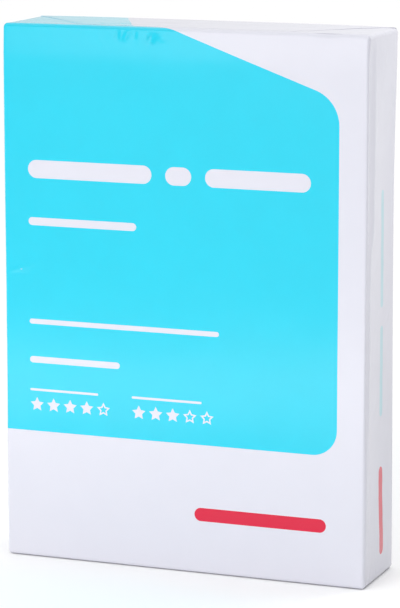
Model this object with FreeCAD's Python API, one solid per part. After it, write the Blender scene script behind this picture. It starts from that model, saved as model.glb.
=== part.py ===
"""A sealed ream of copy paper in its wrapper, standing on one folded end.

Millimetres. +Z is up, the printed front faces -Y, and +X is to the right seen from the front.
The origin is the centre of the base. The sealed pack is one solid, and each colour printed on
it is a film let flush into it by the thickness of the wrapper. The white marks inside the
printed field are the pack itself, showing where the ink is left out.
"""
import FreeCAD, Part
import math
import os

from FreeCAD import Vector

# The sheets inside
SHEET_WIDTH = 210.0
SHEET_LENGTH = 297.0
SHEET_COUNT = 500
SHEET_CALIPER = 0.100

# The wrapper
WRAP_GAUGE = 0.12
WRAP_SLACK = 0.30
EDGE_RADIUS = 2.0

# The folded ends: side gussets lie lowest, the front flap over them, the back flap outermost
FOLD_STEP = 0.30
FRONT_FLAP = 34.0
BACK_FLAP = 46.0

# The glued lap down the back, where the wrapper closes on itself
LAP_STEP = 0.25
LAP_WIDTH = 22.0
LAP_RAMP = 12.0
LAP_EDGE_X = 34.0

# The printed field on the front: a slanted upper edge and two rounded corners. The slanted edge
# comes over the fold at FIELD_TOP_X, and bends there as a straight edge does on a rolled sheet.
FIELD_BOTTOM = 72.5
FIELD_RIGHT_MARGIN = 16.2
FIELD_LOWER_RADIUS = 14.0
FIELD_UPPER_RADIUS = 20.0
FIELD_SLANT_DEG = 19.6
FIELD_TOP_X = -10.5
FIELD_FOLD_RADIUS = 26.0

# The field goes round the left side to the back, and slants across the outer flap
FIELD_BACK_X = -52.0
FIELD_FLAP_X = -30.0

# White bars inside the field, all starting at one left margin
MARK_MARGIN = 15.0
TITLE_Z = 219.5
TITLE_HEIGHT = 10.0
TITLE_FIRST_LENGTHS = (73.0, 15.0)
TITLE_GAP = 8.0
TITLE_RIGHT_MARGIN = 15.6
SUBTITLE_Z = 190.5
SUBTITLE_LENGTH = 64.0
SUBTITLE_HEIGHT = 4.4
LINE_Z = 134.5
LINE_LENGTH = 112.0
LINE_HEIGHT = 2.8
COUNT_Z = 113.0
COUNT_LENGTH = 54.0
COUNT_HEIGHT = 3.6

# Two rows of five stars, each under a fine bar
STAR_Z = 87.6
STAR_RADIUS = 4.1
STAR_WAIST = 0.5
STAR_GAP = 1.8
STAR_STROKE = 0.75
STAR_ROW_GAP = 11.0
STARS_IN_ROW = 5
STARS_FILLED = (4, 3)
CAPTION_GAP = 3.6
CAPTION_LENGTH = 41.0
CAPTION_HEIGHT = 1.3

# The red bar low on the front
RED_Z = 33.5
RED_LENGTH = 76.0
RED_HEIGHT = 7.5
RED_RIGHT_MARGIN = 22.0

# Bars up the right side: a red one lowest, and teal ones above it
SIDE_BAR_Y = 4.0
SIDE_RED_BOTTOM = 13.0
SIDE_RED_LENGTH = 49.0
SIDE_RED_WIDTH = 6.2
SIDE_RED_GAP = 28.0
SIDE_TEAL_LENGTHS = (50.0, 64.0)
SIDE_TEAL_WIDTH = 4.6
SIDE_TEAL_GAP = 10.0

# The outside of the pack, with the lap included in its depth
WIDTH = SHEET_WIDTH + 2 * (WRAP_GAUGE + WRAP_SLACK)
DEPTH = SHEET_COUNT * SHEET_CALIPER + 2 * WRAP_GAUGE + LAP_STEP
HEIGHT = SHEET_LENGTH + 2 * (WRAP_GAUGE + WRAP_SLACK + 2 * FOLD_STEP)
LEFT = -WIDTH / 2
RIGHT = WIDTH / 2
FRONT = -DEPTH / 2
BACK = DEPTH / 2
FIELD_RIGHT = RIGHT - FIELD_RIGHT_MARGIN

# How far the cutting shapes reach past the faces they cut
CLEAR = 1.0
OUTER_LEFT = LEFT - CLEAR
OUTER_RIGHT = RIGHT + CLEAR
OUTER_FRONT = FRONT - CLEAR
OUTER_BACK = BACK + CLEAR
OUTER_TOP = HEIGHT + CLEAR


def tier(drop, inset, lap):
    """The rounded block of the pack, its ends pulled in by drop and all its faces by inset."""
    back = BACK - (0.0 if lap else LAP_STEP) - inset
    low = drop + inset
    block = Part.makeBox(
        WIDTH - 2 * inset,
        back - (FRONT + inset),
        HEIGHT - 2 * low,
        Vector(LEFT + inset, FRONT + inset, low),
    )
    return block.makeFillet(EDGE_RADIUS - inset, block.Edges)


def upright_prism(points):
    """A prism over the whole height of the pack, on a plan outline given as (x, y) points."""
    corners = [Vector(x, y, -CLEAR) for x, y in points]
    face = Part.Face(Part.makePolygon(corners + corners[:1]))
    return face.extrude(Vector(0, 0, OUTER_TOP + CLEAR))


def flap_prism(root_y, length):
    """Where an end flap lies: full width at its fold, narrowing at 45 degrees to its free edge."""
    inward = 1.0 if root_y < 0 else -1.0
    tip_y = root_y + inward * length
    return upright_prism(
        [
            (OUTER_LEFT, root_y - inward * CLEAR),
            (OUTER_RIGHT, root_y - inward * CLEAR),
            (RIGHT - length, tip_y),
            (LEFT + length, tip_y),
        ]
    )


def lap_prism():
    """Where the lap lies on the back: a crisp free edge on one side, a soft ramp on the other."""
    flat_x = LAP_EDGE_X - LAP_WIDTH
    ramp_x = flat_x - LAP_RAMP
    return upright_prism(
        [
            (LAP_EDGE_X, 0.0),
            (LAP_EDGE_X, BACK),
            (flat_x, BACK),
            (ramp_x, BACK - LAP_STEP),
            (ramp_x, 0.0),
        ]
    )


def pack_form(inset=0.0):
    """The outer form of the pack with its folded ends, drawn in by inset."""
    back_flap = tier(0.0, inset, False).common(flap_prism(BACK, BACK_FLAP))
    front_flap = tier(FOLD_STEP, inset, False).common(flap_prism(FRONT, FRONT_FLAP))
    lap = tier(2 * FOLD_STEP, inset, True).common(lap_prism())
    gussets = tier(2 * FOLD_STEP, inset, False)
    return gussets.fuse([front_flap, back_flap, lap]).removeSplitter()


def rounded_face(corners, place):
    """A flat face from (u, v, radius) corners, set in space by place(u, v)."""
    edges = []
    starts = []
    ends = []
    count = len(corners)
    for i, (u, v, radius) in enumerate(corners):
        corner = Vector(u, v, 0)
        before = (Vector(*corners[i - 1][:2], 0) - corner).normalize()
        after = (Vector(*corners[(i + 1) % count][:2], 0) - corner).normalize()
        half = before.getAngle(after) / 2
        reach = radius / math.tan(half)
        crown = corner + (before + after).normalize() * (radius / math.sin(half) - radius)
        starts.append(corner + before * reach)
        ends.append(corner + after * reach)
        if radius > 0:
            arc_points = [place(p.x, p.y) for p in (starts[-1], crown, ends[-1])]
            edges.append(Part.Arc(*arc_points).toShape())
    for i in range(count):
        start = ends[i]
        end = starts[(i + 1) % count]
        if not start.isEqual(end, 1e-6):
            line = Part.LineSegment(place(start.x, start.y), place(end.x, end.y))
            edges.append(line.toShape())
    return Part.Face(Part.Wire(Part.__sortEdges__(edges)))


def bar_corners(u_range, v_range):
    """The corners of a bar with round ends."""
    (low_u, high_u), (low_v, high_v) = u_range, v_range
    radius = min(high_u - low_u, high_v - low_v) / 2
    corners = [(low_u, low_v), (high_u, low_v), (high_u, high_v), (low_u, high_v)]
    return [(u, v, radius) for u, v in corners]


def around(middle, breadth):
    """The range of a breadth about its middle."""
    return (middle - breadth / 2, middle + breadth / 2)


def on_front(u, v):
    """A point just outside the front, u along X and v up."""
    return Vector(u, OUTER_FRONT, v)


def on_back(u, v):
    """A point just outside the back, u along X and v up."""
    return Vector(u, OUTER_BACK, v)


def on_right(u, v):
    """A point just outside the right side, u along Y and v up."""
    return Vector(OUTER_RIGHT, u, v)


def through_front(face):
    """The prism that reaches from a front face into the wrapper."""
    return face.extrude(Vector(0, 2 * CLEAR, 0))


def front_bar(left, length, middle_z, height):
    """A level bar on the front."""
    corners = bar_corners((left, left + length), around(middle_z, height))
    return through_front(rounded_face(corners, on_front))


def side_bar(bottom, length, width):
    """An upright bar on the right side."""
    corners = bar_corners(around(SIDE_BAR_Y, width), (bottom, bottom + length))
    return rounded_face(corners, on_right).extrude(Vector(-2 * CLEAR, 0, 0))


def star_face(x, radius):
    """A five-pointed star standing on two points."""
    points = []
    for i in range(10):
        reach = radius if i % 2 == 0 else radius * STAR_WAIST
        angle = math.pi / 2 + i * math.pi / 5
        points.append((x + reach * math.cos(angle), STAR_Z + reach * math.sin(angle), 0.0))
    return rounded_face(points, on_front)


def star(x, filled):
    """One star, in outline where it isn't filled."""
    face = star_face(x, STAR_RADIUS)
    if not filled:
        half_tip = math.atan2(
            STAR_WAIST * math.sin(math.pi / 5), 1 - STAR_WAIST * math.cos(math.pi / 5)
        )
        face = face.cut(star_face(x, STAR_RADIUS - STAR_STROKE / math.sin(half_tip)))
    return through_front(face)


def title_bars():
    """Three heavy bars in one line, with a thinner one below."""
    left = LEFT + MARK_MARGIN
    bars = [front_bar(left, SUBTITLE_LENGTH, SUBTITLE_Z, SUBTITLE_HEIGHT)]
    for length in TITLE_FIRST_LENGTHS:
        bars.append(front_bar(left, length, TITLE_Z, TITLE_HEIGHT))
        left += length + TITLE_GAP
    last_length = FIELD_RIGHT - TITLE_RIGHT_MARGIN - left
    bars.append(front_bar(left, last_length, TITLE_Z, TITLE_HEIGHT))
    return bars


def line_bars():
    """Two bars lower in the field."""
    left = LEFT + MARK_MARGIN
    return [
        front_bar(left, LINE_LENGTH, LINE_Z, LINE_HEIGHT),
        front_bar(left, COUNT_LENGTH, COUNT_Z, COUNT_HEIGHT),
    ]


def star_rows():
    """Two rows of stars side by side, each under a fine bar."""
    marks = []
    pitch = 2 * STAR_RADIUS + STAR_GAP
    caption_z = STAR_Z + STAR_RADIUS + CAPTION_GAP + CAPTION_HEIGHT / 2
    for row, filled in enumerate(STARS_FILLED):
        left = LEFT + MARK_MARGIN + row * (STARS_IN_ROW * pitch + STAR_ROW_GAP)
        marks.append(front_bar(left, CAPTION_LENGTH, caption_z, CAPTION_HEIGHT))
        for i in range(STARS_IN_ROW):
            marks.append(star(left + STAR_RADIUS + i * pitch, i < filled))
    return marks


def red_bars():
    """The red bar on the front and the one on the right side."""
    left = RIGHT - RED_RIGHT_MARGIN - RED_LENGTH
    return [
        front_bar(left, RED_LENGTH, RED_Z, RED_HEIGHT),
        side_bar(SIDE_RED_BOTTOM, SIDE_RED_LENGTH, SIDE_RED_WIDTH),
    ]


def teal_bars():
    """The pale bars on the right side, one above the other."""
    bars = []
    bottom = SIDE_RED_BOTTOM + SIDE_RED_LENGTH + SIDE_RED_GAP
    for length in SIDE_TEAL_LENGTHS:
        bars.append(side_bar(bottom, length, SIDE_TEAL_WIDTH))
        bottom += length + SIDE_TEAL_GAP
    return bars


def field_on_front():
    """The space that holds the field on the front, up to the top fold."""
    slope = math.tan(math.radians(FIELD_SLANT_DEG))
    fold_z = HEIGHT - FOLD_STEP
    fold_x = FIELD_TOP_X + EDGE_RADIUS * (math.pi / 2 - 1) / slope
    outline = [
        (OUTER_LEFT, FIELD_BOTTOM, 0.0),
        (FIELD_RIGHT, FIELD_BOTTOM, FIELD_LOWER_RADIUS),
        (FIELD_RIGHT, fold_z - slope * (FIELD_RIGHT - fold_x), FIELD_UPPER_RADIUS),
        (fold_x, fold_z, FIELD_FOLD_RADIUS),
        (OUTER_LEFT, OUTER_TOP, 0.0),
    ]
    return rounded_face(outline, on_front).extrude(Vector(0, CLEAR + EDGE_RADIUS, 0))


def field_on_left():
    """The space that holds the field on the left side."""
    size = (CLEAR + EDGE_RADIUS, OUTER_BACK - OUTER_FRONT, OUTER_TOP - FIELD_BOTTOM)
    return Part.makeBox(*size, Vector(OUTER_LEFT, OUTER_FRONT, FIELD_BOTTOM))


def field_on_back():
    """The space that holds the field on the back."""
    outline = [
        (OUTER_LEFT, FIELD_BOTTOM, 0.0),
        (FIELD_BACK_X, FIELD_BOTTOM, FIELD_LOWER_RADIUS),
        (FIELD_BACK_X, OUTER_TOP, 0.0),
        (OUTER_LEFT, OUTER_TOP, 0.0),
    ]
    depth = CLEAR + LAP_STEP + EDGE_RADIUS
    return rounded_face(outline, on_back).extrude(Vector(0, -depth, 0))


def field_on_top():
    """The space that holds the field on the top end, whose outer flap has a slant of its own."""
    start_y = FRONT + EDGE_RADIUS
    rise = (FIELD_TOP_X - FIELD_BACK_X) * math.tan(math.radians(FIELD_SLANT_DEG))
    under = upright_prism(
        [
            (OUTER_LEFT, start_y),
            (FIELD_TOP_X, start_y),
            (FIELD_BACK_X, start_y + rise),
            (FIELD_BACK_X, BACK),
            (OUTER_LEFT, BACK),
        ]
    )
    over = upright_prism(
        [
            (OUTER_LEFT, BACK - BACK_FLAP),
            (FIELD_FLAP_X, BACK - BACK_FLAP),
            (FIELD_BACK_X, BACK),
            (OUTER_LEFT, BACK),
        ]
    )
    flap = flap_prism(BACK, BACK_FLAP)
    cap = Part.makeBox(
        OUTER_RIGHT - OUTER_LEFT,
        OUTER_BACK - OUTER_FRONT,
        CLEAR + EDGE_RADIUS,
        Vector(OUTER_LEFT, OUTER_FRONT, HEIGHT - EDGE_RADIUS),
    )
    return under.cut(flap).fuse(over.common(flap)).common(cap)


def main():
    outside = pack_form()
    skin = outside.cut(pack_form(WRAP_GAUGE))
    white_marks = title_bars() + line_bars() + star_rows()
    spaces = [field_on_left(), field_on_back(), field_on_top()]
    field = field_on_front().fuse(spaces).cut(Part.makeCompound(white_marks))
    nodes = {
        "field_print": skin.common(field),
        "red_print": skin.common(Part.makeCompound(red_bars())),
        "teal_print": skin.common(Part.makeCompound(teal_bars())),
    }
    nodes["sealed_pack"] = outside.cut(list(nodes.values()))
    os.makedirs("parts", exist_ok=True)
    for name, shape in nodes.items():
        solids = Part.makeCompound(shape.Solids)
        print(name, len(shape.Solids), "solids", round(solids.Volume, 3), "mm3", solids.isValid())
        solids.exportStep(f"parts/{name}.step")


main()
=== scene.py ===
import math

import bpy
from bpy.props import FloatProperty, FloatVectorProperty, PointerProperty
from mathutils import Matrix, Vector


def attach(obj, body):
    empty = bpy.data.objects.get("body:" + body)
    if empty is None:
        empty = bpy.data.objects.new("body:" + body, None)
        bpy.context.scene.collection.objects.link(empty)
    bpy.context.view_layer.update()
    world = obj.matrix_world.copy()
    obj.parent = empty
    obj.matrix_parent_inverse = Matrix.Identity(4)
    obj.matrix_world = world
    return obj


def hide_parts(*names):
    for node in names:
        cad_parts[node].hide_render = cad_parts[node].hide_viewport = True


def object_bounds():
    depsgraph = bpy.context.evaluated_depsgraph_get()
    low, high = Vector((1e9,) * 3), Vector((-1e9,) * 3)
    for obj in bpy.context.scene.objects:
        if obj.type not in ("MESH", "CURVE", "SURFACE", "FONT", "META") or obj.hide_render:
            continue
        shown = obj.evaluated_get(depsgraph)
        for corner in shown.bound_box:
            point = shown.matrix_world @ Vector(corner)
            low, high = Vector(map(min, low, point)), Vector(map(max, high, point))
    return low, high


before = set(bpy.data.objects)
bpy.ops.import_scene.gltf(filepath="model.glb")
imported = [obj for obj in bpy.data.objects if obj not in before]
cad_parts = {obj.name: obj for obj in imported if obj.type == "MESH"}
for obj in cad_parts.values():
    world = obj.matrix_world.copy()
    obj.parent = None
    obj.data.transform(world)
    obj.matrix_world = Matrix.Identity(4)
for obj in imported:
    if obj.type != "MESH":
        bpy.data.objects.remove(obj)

bl_info = {
    "name": "Sealed ream of paper",
    "version": (1, 0, 0),
    "blender": (4, 5, 0),
    "location": "3D View > Sidebar > Ream",
    "description": "Dresses a sealed ream of copy paper: its wrapper, the print on it and a studio",
    "category": "Object",
}

# The frame's box, and the faces of the pack that the shapes below are measured from, in metres
CAD_LOW, CAD_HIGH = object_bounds()
HALF_WIDTH = CAD_HIGH.x
FRONT_Y = CAD_LOW.y
BACK_Y = CAD_HIGH.y
TOP_Z = CAD_HIGH.z
DEPTH = BACK_Y - FRONT_Y
MM = 0.001


class ReamShape(bpy.types.PropertyGroup):
    """Sizes of the soft shape of the wrapper."""

    across_step: FloatProperty(
        name="Grid across",
        description="Spacing of the cuts across the width",
        default=3.0 * MM,
        unit="LENGTH",
    )
    depth_step: FloatProperty(
        name="Grid in depth",
        description="Spacing of the cuts from front to back",
        default=1.5 * MM,
        unit="LENGTH",
    )
    upright_step: FloatProperty(
        name="Grid up",
        description="Spacing of the cuts up the pack",
        default=3.0 * MM,
        unit="LENGTH",
    )
    side_valley: FloatProperty(
        name="Side valley",
        description="Depth of the soft valley down each side between the front edge and the crease",
        default=1.1 * MM,
        unit="LENGTH",
    )
    side_hollow: FloatProperty(
        name="Side hollow",
        description="How far the slack sides dip between the stack's edges",
        default=0.8 * MM,
        unit="LENGTH",
    )
    waist: FloatProperty(
        name="Waist",
        description="How far each side's rear edge draws in between the folded ends",
        default=1.1 * MM,
        unit="LENGTH",
    )
    front_roll: FloatProperty(
        name="Front roll",
        description="How far the front leans back into the top fold",
        default=1.6 * MM,
        unit="LENGTH",
    )
    top_swell: FloatProperty(
        name="Top swell",
        description="How far the folded layers stand proud on the top end",
        default=0.5 * MM,
        unit="LENGTH",
    )
    fold_press: FloatProperty(
        name="Fold press",
        description="How much closer together a millimetre of the top end's folded layers lies",
        default=0.7 * MM,
        unit="LENGTH",
    )
    lap_lift: FloatProperty(
        name="Lap lift",
        description="How far the edge of the lap down the back stands off",
        default=0.4 * MM,
        unit="LENGTH",
    )
    wave_height: FloatProperty(
        name="Waves",
        description="Height of the slack wrapper's long waves",
        default=0.7 * MM,
        unit="LENGTH",
    )
    dent_depth: FloatProperty(
        name="Dents",
        description="Depth of the deepest small dent under the top fold",
        default=0.70 * MM,
        unit="LENGTH",
    )


class ReamColours(bpy.types.PropertyGroup):
    """Colours of the wrapper and the inks."""

    sheet: FloatVectorProperty(
        name="Wrapper",
        description="White of the coated wrapper",
        subtype="COLOR",
        size=4,
        default=(0.665, 0.665, 0.740, 1.0),
    )
    cyan: FloatVectorProperty(
        name="Cyan ink",
        description="Ink of the printed field",
        subtype="COLOR",
        size=4,
        default=(0.004, 0.575, 0.755, 1.0),
    )
    red: FloatVectorProperty(
        name="Red ink",
        description="Ink of the red bars",
        subtype="COLOR",
        size=4,
        default=(0.64, 0.006, 0.043, 1.0),
    )
    teal: FloatVectorProperty(
        name="Teal ink",
        description="Ink of the pale bars on the side",
        subtype="COLOR",
        size=4,
        default=(0.38, 0.60, 0.67, 1.0),
    )


class ReamStudio(bpy.types.PropertyGroup):
    """The floor, the light and the camera."""

    floor_size: FloatProperty(
        name="Floor",
        description="Side of the square floor",
        default=40.0,
        unit="LENGTH",
    )
    front_power: FloatProperty(
        name="Front light",
        description="Power of the large soft light at the front left, which gives the sheen",
        default=7.0,
        unit="POWER",
    )
    side_power: FloatProperty(
        name="Side light",
        description="Power of the soft light high on the right",
        default=0.10,
        unit="POWER",
    )
    card_power: FloatProperty(
        name="Low card",
        description="Power of the low strip of light that fills the foot of the front",
        default=0.26,
        unit="POWER",
    )
    sky_strength: FloatProperty(
        name="Sky",
        description="Strength of the soft white light from all round",
        default=0.02,
    )
    sky_crown: FloatProperty(
        name="Sky crown",
        description="How much stronger the sky is overhead than at the horizon",
        default=1.62,
    )
    sky_left: FloatProperty(
        name="Sky at the left",
        description="How much stronger the sky is towards the front left",
        default=0.56,
    )
    sky_back: FloatProperty(
        name="Sky backdrop",
        description="How much stronger the sky is straight behind the pack",
        default=1.05,
    )
    camera_turn: FloatProperty(
        name="Camera turn",
        description="How far round to the right of the front the camera stands",
        default=math.radians(21.16),
        subtype="ANGLE",
    )
    camera_rise: FloatProperty(
        name="Camera rise",
        description="How far above the level of its aim the camera stands",
        default=math.radians(10.38),
        subtype="ANGLE",
    )
    camera_distance: FloatProperty(
        name="Camera distance",
        description="From the aim to the camera",
        default=1.6294,
        unit="LENGTH",
    )
    camera_aim: FloatVectorProperty(
        name="Camera aim",
        description="Where the camera looks",
        subtype="XYZ",
        default=(0.0009, 0.0, 0.1457),
    )
    camera_lens: FloatProperty(
        name="Lens",
        description="Focal length in millimetres on a 36 mm sensor",
        default=175.5,
    )


def ramp(low, high, value):
    """0 at low, 1 at high and smooth between them; low may be the greater."""
    part = min(max((value - low) / (high - low), 0.0), 1.0)
    return part * part * (3 - 2 * part)


def inside(value, low, high, soft):
    """1 between low and high, falling to 0 over soft at either side."""
    return ramp(low, low + soft, value) * ramp(high, high - soft, value)


def hump(value, middle, reach):
    """1 at the middle and 0 from reach away."""
    return ramp(reach, 0.0, abs(value - middle))


def pick(piece):
    """Leaves one piece selected and active."""
    bpy.ops.object.select_all(action="DESELECT")
    piece.select_set(True)
    bpy.context.view_layer.objects.active = piece


def start_from_node(node, name):
    """A new piece from a frame node's surface, its loose triangles welded."""
    piece = bpy.data.objects.new(name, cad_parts[node].data.copy())
    piece.data.name = name
    piece.data.materials.clear()
    bpy.context.collection.objects.link(piece)
    pick(piece)
    bpy.ops.object.mode_set(mode="EDIT")
    bpy.ops.mesh.select_all(action="SELECT")
    bpy.ops.mesh.remove_doubles(threshold=0.002 * MM)
    bpy.ops.mesh.customdata_custom_splitnormals_clear()
    bpy.ops.mesh.dissolve_limited(angle_limit=math.radians(0.05))
    bpy.ops.object.mode_set(mode="OBJECT")
    return piece


def cut_grid(axis, step):
    """Cuts the piece in edit mode by even planes across one axis."""
    low, high = CAD_LOW[axis], CAD_HIGH[axis]
    count = max(round((high - low) / step), 2)
    normal = Vector((0, 0, 0))
    normal[axis] = 1
    for i in range(1, count):
        bpy.ops.mesh.select_all(action="SELECT")
        place = normal * (low + (high - low) * i / count)
        bpy.ops.mesh.bisect(plane_co=place, plane_no=normal, threshold=0.001 * MM)


def refine(piece, chosen, cuts):
    """Divides the faces whose centre is chosen into smaller ones."""
    pick(piece)
    bpy.ops.object.mode_set(mode="EDIT")
    bpy.ops.mesh.select_mode(type="FACE")
    bpy.ops.mesh.select_all(action="DESELECT")
    bpy.ops.object.mode_set(mode="OBJECT")
    for face in piece.data.polygons:
        face.select = chosen(face.center)
    bpy.ops.object.mode_set(mode="EDIT")
    bpy.ops.mesh.subdivide(number_cuts=cuts)
    bpy.ops.object.mode_set(mode="OBJECT")


def push(piece, name, weight_of, axis, height, texture=None):
    """Moves the surface along one axis by a height, weighted by place and by a texture."""
    group = piece.vertex_groups.new(name=name)
    for vertex in piece.data.vertices:
        weight = weight_of(vertex.co)
        if weight > 0:
            group.add([vertex.index], weight, "REPLACE")
    modifier = piece.modifiers.new(name, "DISPLACE")
    modifier.vertex_group = name
    modifier.direction = axis
    modifier.strength = height
    modifier.mid_level = 0.0
    if texture:
        modifier.texture = texture
        modifier.texture_coords = "LOCAL"
        modifier.mid_level = 0.5
    pick(piece)
    bpy.ops.object.modifier_apply(modifier=name)
    piece.vertex_groups.clear()


def cloud_texture(name, size, depth=1):
    """A soft noise that the displace modifiers read by place."""
    texture = bpy.data.textures.get(name) or bpy.data.textures.new(name, "CLOUDS")
    texture.noise_scale = size
    texture.noise_depth = depth
    return texture


def side_reach(co):
    """1 on the right side and 0 forty millimetres in from it; the same on the left."""
    return ramp(HALF_WIDTH - 40 * MM, HALF_WIDTH - 1 * MM, abs(co.x))


def waist_weight(co):
    """The sides' rear edges draw in between the thick folded ends, most above the middle."""
    upright = ramp(0, 0.66 * TOP_Z, co.z) * ramp(TOP_Z, 0.72 * TOP_Z, co.z)
    return side_reach(co) * upright * ramp(FRONT_Y + 12 * MM, BACK_Y, co.y)


# Where the deepest line of a side's valley runs, as a share of the way to the crease
VALLEY_FLOOR = 0.32


def side_crease(co):
    """How far behind the front the side's soft crease lies: well back high up, closer low down."""
    return (5.5 + 6 * ramp(0.58 * TOP_Z, 0.66 * TOP_Z, co.z)) * MM


def valley_weight(co):
    """The side dips behind its front edge and comes out again at the crease, least low down."""
    along = (co.y - FRONT_Y) / side_crease(co)
    if abs(co.x) < HALF_WIDTH - 4 * MM or not 0 < along < 1:
        return 0.0
    if along < VALLEY_FLOOR:
        dip = ramp(0, VALLEY_FLOOR, along)
    else:
        dip = 1 - ((along - VALLEY_FLOOR) / (1 - VALLEY_FLOOR)) ** 1.6
    depth = 0.6 + 0.4 * ramp(0.58 * TOP_Z, 0.66 * TOP_Z, co.z)
    upright = ramp(60 * MM, 110 * MM, co.z) * ramp(TOP_Z - 2 * MM, TOP_Z - 12 * MM, co.z)
    return dip * depth * upright * ramp(HALF_WIDTH - 4 * MM, HALF_WIDTH - 1 * MM, abs(co.x))


def hollow_weight(co):
    """The slack side panel dips between its crease and the rear edge."""
    if abs(co.x) < HALF_WIDTH - 3 * MM:
        return 0.0
    along = (co.y - FRONT_Y - side_crease(co)) / (DEPTH - 3 * MM - side_crease(co))
    if not 0 < along < 1:
        return 0.0
    dip = math.sin(math.pi * along ** 0.8)
    return dip * inside(co.z, 4 * MM, TOP_Z - 3 * MM, 60 * MM)


def roll_weight(co):
    """The front leans back near the top fold, and the top end goes with it."""
    below = TOP_Z - co.z
    lean = max(1 - below / (20 * MM), 0.0)
    return lean ** 2 * ramp(16 * MM, 0, co.y - FRONT_Y)


def swell_weight(co):
    """The folded layers stand highest at the middle of the top end and towards the back."""
    along = 1 - abs(co.x / HALF_WIDTH) ** 4
    across = 0.25 + 0.75 * ramp(FRONT_Y, 0.4 * BACK_Y, co.y)
    return along * across * ramp(TOP_Z - 30 * MM, TOP_Z, co.z)


def press_weight(co):
    """How far under the outermost one each folded layer of the top end lies."""
    below = TOP_Z - co.z
    if not 0 < below < 1 * MM:
        return 0.0
    inner = ramp(HALF_WIDTH - 1 * MM, HALF_WIDTH - 4 * MM, abs(co.x))
    return below / (1 * MM) * inner * ramp(FRONT_Y + 1 * MM, FRONT_Y + 4 * MM, co.y)


def lap_edge_weight(co):
    """The lap on the back, near its free edge."""
    if co.y < BACK_Y - 0.1 * MM:
        return 0.0
    return ramp(22 * MM, 34 * MM, co.x) * inside(co.z, 0, TOP_Z, 30 * MM)


def front_wave_weight(co):
    """The broad faces away from their edges."""
    if abs(co.y) < 20 * MM:
        return 0.0
    return inside(co.x, -HALF_WIDTH, HALF_WIDTH, 30 * MM) * inside(co.z, 0, TOP_Z, 34 * MM)


def side_wave_weight(co):
    """The long sides away from their edges."""
    if abs(co.x) < HALF_WIDTH - 6 * MM:
        return 0.0
    return inside(co.y, FRONT_Y, BACK_Y, 12 * MM) * inside(co.z, 0, TOP_Z, 20 * MM)


def top_wave_weight(co):
    """The top end away from its edges."""
    if co.z < TOP_Z - 3 * MM:
        return 0.0
    return inside(co.x, -HALF_WIDTH, HALF_WIDTH, 15 * MM) * inside(co.y, FRONT_Y, BACK_Y, 10 * MM)


# Small marks in the front: place across, place below the top fold, half width, half height,
# lean across for each unit of height, and share of the full depth, where below 0 is a ridge
MARKS = (
    (-37.5 * MM, 4.5 * MM, 1.6 * MM, 4.0 * MM, 0.0, 0.7),
    (-32.0 * MM, 5.0 * MM, 1.8 * MM, 4.5 * MM, 0.45, -0.9),
    (-27.5 * MM, 4.5 * MM, 2.0 * MM, 3.5 * MM, 0.2, 0.5),
    (-18.0 * MM, 6.0 * MM, 3.6 * MM, 4.5 * MM, 0.15, 1.0),
    (-11.0 * MM, 5.5 * MM, 4.5 * MM, 3.5 * MM, 0.0, -0.5),
    (82.0 * MM, 1.0 * MM, 10.0 * MM, 1.8 * MM, 0.0, 0.8),
    (-95.0 * MM, 135.0 * MM, 5.0 * MM, 4.0 * MM, 2.6, -0.45),
)


def mark_weight(co, sign):
    """The small dents, or with sign -1 the small ridges, in the front."""
    if co.y > FRONT_Y + 3 * MM:
        return 0.0
    weight = 0.0
    below = TOP_Z - co.z
    for across, middle, half_width, half_height, lean, share in MARKS:
        centre = across - lean * (below - middle)
        spot = hump(co.x, centre, half_width) * hump(below, middle, half_height)
        weight = max(weight, sign * share * spot)
    return weight


def near_marks(centre):
    """The parts of the front that hold the small marks."""
    if centre.y > FRONT_Y + 3 * MM:
        return False
    below = TOP_Z - centre.z
    for across, middle, half_width, half_height, lean, _ in MARKS:
        reach = half_width + abs(lean) * half_height + 3 * MM
        if abs(centre.x - across) < reach and abs(below - middle) < half_height + 3 * MM:
            return True
    return False


def shape_wrapper(piece):
    """Gives a piece of the pack's surface the soft shape of a filled paper wrapper."""
    shape = bpy.context.scene.ream_shape
    pick(piece)
    bpy.ops.object.mode_set(mode="EDIT")
    cut_grid(0, shape.across_step)
    cut_grid(1, shape.depth_step)
    cut_grid(2, shape.upright_step)
    bpy.ops.object.mode_set(mode="OBJECT")
    refine(piece, near_marks, 2)
    long_waves = cloud_texture("long_waves", 70 * MM)
    short_waves = cloud_texture("short_waves", 24 * MM, 2)
    right = lambda co: co.x > 0
    left = lambda co: co.x < 0
    push(piece, "lap_edge", lap_edge_weight, "Y", shape.lap_lift, short_waves)
    push(piece, "press", press_weight, "Z", shape.fold_press)
    for side, half, sign in (("right", right, 1), ("left", left, -1)):
        for name, weight_of, height in (
            ("hollow", hollow_weight, -shape.side_hollow),
            ("valley", valley_weight, -shape.side_valley),
            ("waist", waist_weight, -shape.waist),
        ):
            chosen = lambda co: weight_of(co) if half(co) else 0.0
            push(piece, f"{side}_{name}", chosen, "X", sign * height)
    push(piece, "front_roll", roll_weight, "Y", shape.front_roll)
    push(piece, "dents", lambda co: mark_weight(co, 1), "Y", shape.dent_depth)
    push(piece, "ridges", lambda co: mark_weight(co, -1), "Y", -shape.dent_depth)
    push(piece, "front_waves", front_wave_weight, "Y", shape.wave_height, long_waves)
    push(piece, "side_waves", side_wave_weight, "X", shape.wave_height, short_waves)
    push(piece, "top_waves", top_wave_weight, "Z", shape.wave_height, short_waves)
    push(piece, "top_swell", swell_weight, "Z", shape.top_swell)


def finish_surface(piece, material, node):
    """Smooths the piece, gives it its material and puts it in the node's place."""
    pick(piece)
    bpy.ops.object.shade_smooth_by_angle(angle=math.radians(32))
    even = piece.modifiers.new("even_normals", "WEIGHTED_NORMAL")
    even.keep_sharp = True
    bpy.ops.object.modifier_apply(modifier=even.name)
    piece.data.materials.append(material)
    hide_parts(node)
    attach(piece, "root")


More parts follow.
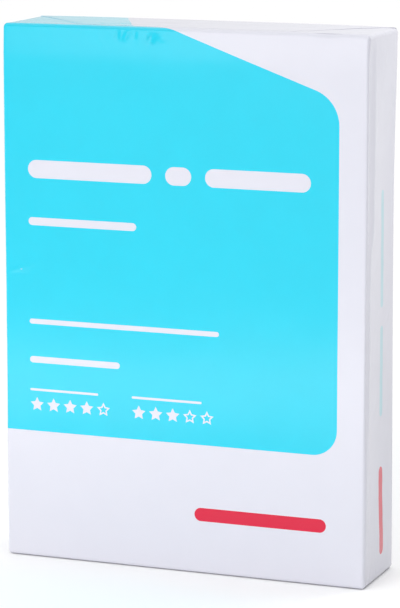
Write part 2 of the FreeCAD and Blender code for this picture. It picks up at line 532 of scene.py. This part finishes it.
class NodeMaker:
    """Adds nodes to one node tree, linked as they are made."""

    def __init__(self, tree):
        self.tree = tree

    def add(self, kind, inputs=None, **settings):
        """A node with its inputs linked to sockets or set to values."""
        node = self.tree.nodes.new(kind)
        for name, value in settings.items():
            setattr(node, name, value)
        for key, value in (inputs or {}).items():
            if isinstance(value, bpy.types.NodeSocket):
                self.tree.links.new(value, node.inputs[key])
            else:
                node.inputs[key].default_value = value
        return node

    def math(self, operation, first, second=0.0, third=0.0, clamp=False):
        """The result of a Math node."""
        inputs = {0: first, 1: second, 2: third}
        node = self.add("ShaderNodeMath", inputs, operation=operation, use_clamp=clamp)
        return node.outputs[0]

    def ramp(self, value, low, high):
        """The value brought smoothly from 0 at low to 1 at high."""
        inputs = {"Value": value, "From Min": low, "From Max": high}
        node = self.add("ShaderNodeMapRange", inputs, interpolation_type="SMOOTHSTEP")
        return node.outputs["Result"]

    def mix_colour(self, share, first, second, blend="MIX"):
        """Two colours mixed."""
        inputs = {"Factor": share, "A": first, "B": second}
        node = self.add("ShaderNodeMix", None, data_type="RGBA", blend_type=blend)
        for key, value in inputs.items():
            matches = [s for s in node.inputs if s.name == key and s.enabled]
            if isinstance(value, bpy.types.NodeSocket):
                self.tree.links.new(value, matches[0])
            else:
                matches[0].default_value = value
        return [s for s in node.outputs if s.enabled][0]


def new_group(name, inputs, outputs):
    """An empty shader group with named sockets, and its maker, input node and output node."""
    tree = bpy.data.node_groups.new(name, "ShaderNodeTree")
    for label, kind, default in inputs:
        socket = tree.interface.new_socket(label, in_out="INPUT", socket_type=kind)
        if default is not None:
            socket.default_value = default
    for label, kind in outputs:
        tree.interface.new_socket(label, in_out="OUTPUT", socket_type=kind)
    return tree, NodeMaker(tree), tree.nodes.new("NodeGroupInput"), tree.nodes.new("NodeGroupOutput")


def sheet_stock_group():
    """The paper itself: cloudy tone, fine tooth and patches of more and less gloss."""
    existing = bpy.data.node_groups.get("sheet_stock")
    if existing:
        return existing
    tree, make, start, end = new_group(
        "sheet_stock",
        [
            ("Vector", "NodeSocketVector", None),
            ("Colour", "NodeSocketColor", (0.8, 0.8, 0.8, 1.0)),
            ("Cloudiness", "NodeSocketFloat", 0.03),
            ("Roughness", "NodeSocketFloat", 0.4),
            ("Gloss Change", "NodeSocketFloat", 0.045),
        ],
        [
            ("Colour", "NodeSocketColor"),
            ("Roughness", "NodeSocketFloat"),
            ("Height", "NodeSocketFloat"),
        ],
    )
    place = start.outputs["Vector"]
    cloud = make.add("ShaderNodeTexNoise", {"Vector": place, "Scale": 55.0, "Detail": 4.0})
    patch = make.add("ShaderNodeTexNoise", {"Vector": place, "Scale": 130.0, "Detail": 2.0})
    tooth = make.add("ShaderNodeTexNoise", {"Vector": place, "Scale": 2600.0, "Detail": 2.0})
    swing = make.math("SUBTRACT", cloud.outputs["Fac"], 0.5)
    tone = make.math("MULTIPLY_ADD", swing, start.outputs["Cloudiness"], 1.0)
    grey = make.add("ShaderNodeCombineColor", {0: tone, 1: tone, 2: tone})
    colour = make.mix_colour(1.0, start.outputs["Colour"], grey.outputs[0], "MULTIPLY")
    gloss = make.math("SUBTRACT", patch.outputs["Fac"], 0.5)
    rough = make.math("MULTIPLY_ADD", gloss, start.outputs["Gloss Change"], start.outputs["Roughness"])
    tree.links.new(colour, end.inputs["Colour"])
    tree.links.new(rough, end.inputs["Roughness"])
    tree.links.new(tooth.outputs["Fac"], end.inputs["Height"])
    return tree


def fold_sheen_and_wear_group():
    """A mask along the pack's folded edges, broken up as worn paper is; it marks worn ink and a
    painted sheen on the folds.
    """
    existing = bpy.data.node_groups.get("fold_sheen_and_wear")
    if existing:
        return existing
    tree, make, start, end = new_group(
        "fold_sheen_and_wear",
        [
            ("Vector", "NodeSocketVector", None),
            ("Width", "NodeSocketFloat", 1.6 * MM),
        ],
        [("Mask", "NodeSocketFloat")],
    )
    parts = make.add("ShaderNodeSeparateXYZ", {0: start.outputs["Vector"]})
    to_side = make.math("SUBTRACT", HALF_WIDTH, make.math("ABSOLUTE", parts.outputs["X"]))
    to_face = make.math("SUBTRACT", DEPTH / 2, make.math("ABSOLUTE", parts.outputs["Y"]))
    from_middle = make.math("SUBTRACT", parts.outputs["Z"], TOP_Z / 2)
    to_end = make.math("SUBTRACT", TOP_Z / 2, make.math("ABSOLUTE", from_middle))
    side_face = make.math("MAXIMUM", to_side, to_face)
    side_end = make.math("MAXIMUM", to_side, to_end)
    face_end = make.math("MAXIMUM", to_face, to_end)
    nearest = make.math("MINIMUM", side_face, make.math("MINIMUM", side_end, face_end))
    breaks = make.add(
        "ShaderNodeTexNoise", {"Vector": start.outputs["Vector"], "Scale": 420.0, "Detail": 3.0}
    )
    near = make.ramp(nearest, start.outputs["Width"], 0.0)
    rubbed_and_sheen = make.ramp(breaks.outputs["Fac"], 0.35, 0.65)
    tree.links.new(make.math("MULTIPLY", near, rubbed_and_sheen), end.inputs["Mask"])
    return tree


def slack_creases_group():
    """Faint creases of slack paper, strongest near the folded ends and on the long sides."""
    existing = bpy.data.node_groups.get("slack_creases")
    if existing:
        return existing
    tree, make, start, end = new_group(
        "slack_creases",
        [
            ("Vector", "NodeSocketVector", None),
            ("Reach", "NodeSocketFloat", 22.0 * MM),
        ],
        [("Height", "NodeSocketFloat")],
    )
    place = start.outputs["Vector"]
    parts = make.add("ShaderNodeSeparateXYZ", {0: place})
    from_middle = make.math("SUBTRACT", parts.outputs["Z"], TOP_Z / 2)
    to_end = make.math("SUBTRACT", TOP_Z / 2, make.math("ABSOLUTE", from_middle))
    to_side = make.math("SUBTRACT", HALF_WIDTH, make.math("ABSOLUTE", parts.outputs["X"]))
    near_end = make.ramp(to_end, start.outputs["Reach"], 0.0)
    on_side = make.ramp(to_side, 2.0 * MM, 0.5 * MM)
    stretched = make.add("ShaderNodeVectorMath", {0: place, 1: (1.0, 1.0, 0.45)}, operation="MULTIPLY")
    folds = make.add(
        "ShaderNodeTexNoise",
        {"Vector": stretched.outputs[0], "Scale": 60.0, "Detail": 1.0, "Distortion": 0.6},
    )
    off_ridge = make.math("ABSOLUTE", make.math("SUBTRACT", folds.outputs["Fac"], 0.5))
    ridges = make.ramp(off_ridge, 0.10, 0.0)
    patches = make.add("ShaderNodeTexNoise", {"Vector": place, "Scale": 26.0, "Detail": 1.0})
    some = make.ramp(patches.outputs["Fac"], 0.42, 0.62)
    where = make.math("MAXIMUM", near_end, make.math("MULTIPLY", on_side, 0.6))
    height = make.math("MULTIPLY", ridges, make.math("MULTIPLY", where, some))
    tree.links.new(height, end.inputs["Height"])
    return tree


def paper_material(name, colour, roughness, cloudiness, wear_and_sheen, ior, coat):
    """Coated paper in one colour, paler along the folds: partly worn ink, partly a painted sheen on
    the fold edges.
    """
    sheet = bpy.context.scene.ream_colours.sheet
    material = bpy.data.materials.new(name)
    material.use_nodes = True
    tree = material.node_tree
    tree.nodes.clear()
    make = NodeMaker(tree)
    place = make.add("ShaderNodeTexCoord").outputs["Object"]
    stock = make.add("ShaderNodeGroup", None, node_tree=sheet_stock_group())
    tree.links.new(place, stock.inputs["Vector"])
    stock.inputs["Colour"].default_value = colour
    stock.inputs["Cloudiness"].default_value = cloudiness
    stock.inputs["Roughness"].default_value = roughness
    folds = make.add("ShaderNodeGroup", None, node_tree=fold_sheen_and_wear_group())
    tree.links.new(place, folds.inputs["Vector"])
    creases = make.add("ShaderNodeGroup", None, node_tree=slack_creases_group())
    tree.links.new(place, creases.inputs["Vector"])
    # Painted sheen and worn ink: the colour is lightened towards white along the folded edges
    rubbed_and_sheen = make.math("MULTIPLY", folds.outputs["Mask"], wear_and_sheen)
    shown = make.mix_colour(rubbed_and_sheen, stock.outputs["Colour"], tuple(sheet))
    tooth = make.add(
        "ShaderNodeBump",
        {"Height": stock.outputs["Height"], "Strength": 0.12, "Distance": 0.02 * MM},
    )
    crease = make.add(
        "ShaderNodeBump",
        {"Height": creases.outputs["Height"], "Strength": 0.5, "Distance": 0.25 * MM,
         "Normal": tooth.outputs["Normal"]},
    )
    shader = make.add(
        "ShaderNodeBsdfPrincipled",
        {"Base Color": shown, "Roughness": stock.outputs["Roughness"],
         "Normal": crease.outputs["Normal"], "IOR": ior,
         "Coat Weight": coat, "Coat IOR": ior, "Coat Roughness": 0.2},
    )
    output = make.add("ShaderNodeOutputMaterial")
    tree.links.new(shader.outputs["BSDF"], output.inputs["Surface"])
    return material


def floor_material():
    """A plain pale floor."""
    material = bpy.data.materials.new("pale_floor")
    material.use_nodes = True
    tree = material.node_tree
    tree.nodes.clear()
    make = NodeMaker(tree)
    shader = make.add(
        "ShaderNodeBsdfPrincipled",
        {"Base Color": (0.97, 0.97, 0.97, 1.0), "Roughness": 0.9, "Specular IOR Level": 0.1},
    )
    output = make.add("ShaderNodeOutputMaterial")
    tree.links.new(shader.outputs["BSDF"], output.inputs["Surface"])
    return material


class REAM_OT_wrapper(bpy.types.Operator):
    """Shape the white wrapper with its folded ends and its lap"""

    bl_idname = "ream.wrapper"
    bl_label = "Wrapper"

    def execute(self, context):
        wrapper = start_from_node("sealed_pack", "wrapper")
        shape_wrapper(wrapper)
        sheet = tuple(context.scene.ream_colours.sheet)
        material = paper_material("coated_white_paper", sheet, 0.25, 0.03, 0.0, 1.5, 0.0)
        finish_surface(wrapper, material, "sealed_pack")
        return {"FINISHED"}


class REAM_OT_field(bpy.types.Operator):
    """Shape the cyan field of print on the wrapper"""

    bl_idname = "ream.field"
    bl_label = "Cyan field"

    def execute(self, context):
        field = start_from_node("field_print", "cyan_field")
        shape_wrapper(field)
        cyan = tuple(context.scene.ream_colours.cyan)
        # The cyan goes half-way to white along the folds, for worn ink and for a painted sheen on the
        # fold edges
        material = paper_material("cyan_ink_on_paper", cyan, 0.25, 0.06, 0.5, 1.3, 1.0)
        finish_surface(field, material, "field_print")
        return {"FINISHED"}


class REAM_OT_bars(bpy.types.Operator):
    """Shape the red and teal bars printed on the wrapper"""

    bl_idname = "ream.bars"
    bl_label = "Red and teal bars"

    def execute(self, context):
        colours = context.scene.ream_colours
        for node, name, colour, slot in (
            ("red_print", "red_bars", tuple(colours.red), "red_ink"),
            ("teal_print", "teal_bars", tuple(colours.teal), "teal_ink"),
        ):
            bars = start_from_node(node, name)
            shape_wrapper(bars)
            material = paper_material(f"{slot}_on_paper", colour, 0.30, 0.05, 0.0, 1.3, 1.0)
            finish_surface(bars, material, node)
        return {"FINISHED"}


class REAM_OT_studio(bpy.types.Operator):
    """Set up the pale floor, the soft light and the camera"""

    bl_idname = "ream.studio"
    bl_label = "Studio"

    def execute(self, context):
        studio = context.scene.ream_studio
        bpy.ops.object.select_all(action="DESELECT")
        bpy.ops.mesh.primitive_plane_add(size=studio.floor_size)
        floor = context.object
        floor.name = "studio_floor"
        floor.data.materials.append(floor_material())
        context.scene.world = soft_sky(studio)
        middle = Vector((0, 0, TOP_Z / 2))
        upper_side = Vector((HALF_WIDTH, 0, 0.8 * TOP_Z))
        power = studio.front_power
        soft_light("front_light", Vector((-0.45, -1.70, 0.65)), middle, (0.9, 1.0), power, 180)
        power = studio.side_power
        soft_light("side_light", Vector((0.32, 0.22, 0.40)), upper_side, (0.2, 0.2), power, 75)
        power = studio.card_power
        soft_light("low_card", Vector((-0.10, -0.36, 0.03)), middle, (0.6, 0.05), power, 180)
        context.scene.view_settings.view_transform = "Standard"
        add_camera(studio)
        return {"FINISHED"}


# The way to the brightest part of the sky, level and round to the left of the front
LEFT_WAY = (-0.6, -0.8, 0.0)
WHITE = (1.0, 1.0, 1.0, 1.0)


def soft_sky(studio):
    """White light all round, stronger overhead, at the front left and behind, on a white backdrop."""
    sky = bpy.data.worlds.new("soft_sky")
    sky.use_nodes = True
    tree = sky.node_tree
    tree.nodes.clear()
    make = NodeMaker(tree)
    direction = make.add("ShaderNodeTexCoord").outputs["Generated"]
    parts = make.add("ShaderNodeSeparateXYZ", {0: direction}).outputs
    crown = make.math("POWER", make.math("MAXIMUM", parts["Z"], 0.0), 2.0)
    strength = make.math("MULTIPLY_ADD", crown, studio.sky_crown, studio.sky_strength)
    to_left = make.add("ShaderNodeVectorMath", {0: direction, 1: LEFT_WAY}, operation="DOT_PRODUCT")
    left = make.math("MAXIMUM", to_left.outputs["Value"], 0.0)
    strength = make.math("MULTIPLY_ADD", left, studio.sky_left, strength)
    behind = make.math("POWER", make.math("MAXIMUM", parts["Y"], 0.0), 3.0)
    strength = make.math("MULTIPLY_ADD", behind, studio.sky_back, strength)
    light = make.add("ShaderNodeBackground", {"Color": WHITE, "Strength": strength}).outputs[0]
    backdrop = make.add("ShaderNodeBackground", {"Color": WHITE, "Strength": 1.0}).outputs[0]
    seen = make.add("ShaderNodeLightPath").outputs["Is Camera Ray"]
    both = make.add("ShaderNodeMixShader", {0: seen, 1: light, 2: backdrop}).outputs[0]
    output = make.add("ShaderNodeOutputWorld")
    tree.links.new(both, output.inputs["Surface"])
    return sky


def soft_light(name, place, target, size, power, spread):
    """An area light, wide by high, turned to a target, its light fanning out over spread degrees."""
    bpy.ops.object.light_add(type="AREA", location=place)
    light = bpy.context.object
    light.name = name
    light.data.shape = "RECTANGLE"
    light.data.size, light.data.size_y = size
    light.data.energy = power
    light.data.spread = math.radians(spread)
    light.visible_camera = False
    light.rotation_euler = (target - place).to_track_quat("-Z", "Y").to_euler()


def add_camera(studio):
    """The camera at the photograph's viewing angle."""
    aim = Vector(studio.camera_aim)
    level = math.cos(studio.camera_rise)
    back = Vector(
        (
            math.sin(studio.camera_turn) * level,
            -math.cos(studio.camera_turn) * level,
            math.sin(studio.camera_rise),
        )
    )
    bpy.ops.object.camera_add(location=aim + back * studio.camera_distance)
    camera = bpy.context.object
    camera.name = "studio_camera"
    camera.rotation_euler = (-back).to_track_quat("-Z", "Y").to_euler()
    camera.data.lens = studio.camera_lens
    camera.data.clip_start = 0.05
    bpy.context.scene.camera = camera


class REAM_PT_sidebar(bpy.types.Panel):
    """The ream's pieces and sizes"""

    bl_idname = "REAM_PT_sidebar"
    bl_label = "Ream"
    bl_space_type = "VIEW_3D"
    bl_region_type = "UI"
    bl_category = "Ream"

    def draw(self, context):
        scene = context.scene
        for settings in (scene.ream_shape, scene.ream_colours, scene.ream_studio):
            box = self.layout.box()
            for name in settings.bl_rna.properties.keys():
                if name not in ("rna_type", "name"):
                    box.prop(settings, name)
        for operator in OPERATORS:
            self.layout.operator(operator.bl_idname)


SETTINGS = {
    "ream_shape": ReamShape,
    "ream_colours": ReamColours,
    "ream_studio": ReamStudio,
}
OPERATORS = (REAM_OT_wrapper, REAM_OT_field, REAM_OT_bars, REAM_OT_studio)


def register():
    for kind in (*SETTINGS.values(), *OPERATORS, REAM_PT_sidebar):
        bpy.utils.register_class(kind)
    for name, kind in SETTINGS.items():
        setattr(bpy.types.Scene, name, PointerProperty(type=kind))


def unregister():
    for name in SETTINGS:
        delattr(bpy.types.Scene, name)
    for kind in reversed((*SETTINGS.values(), *OPERATORS, REAM_PT_sidebar)):
        bpy.utils.unregister_class(kind)


def main():
    register()
    bpy.ops.ream.wrapper()
    bpy.ops.ream.field()
    bpy.ops.ream.bars()
    bpy.ops.ream.studio()


if __name__ == "__main__":
    main()
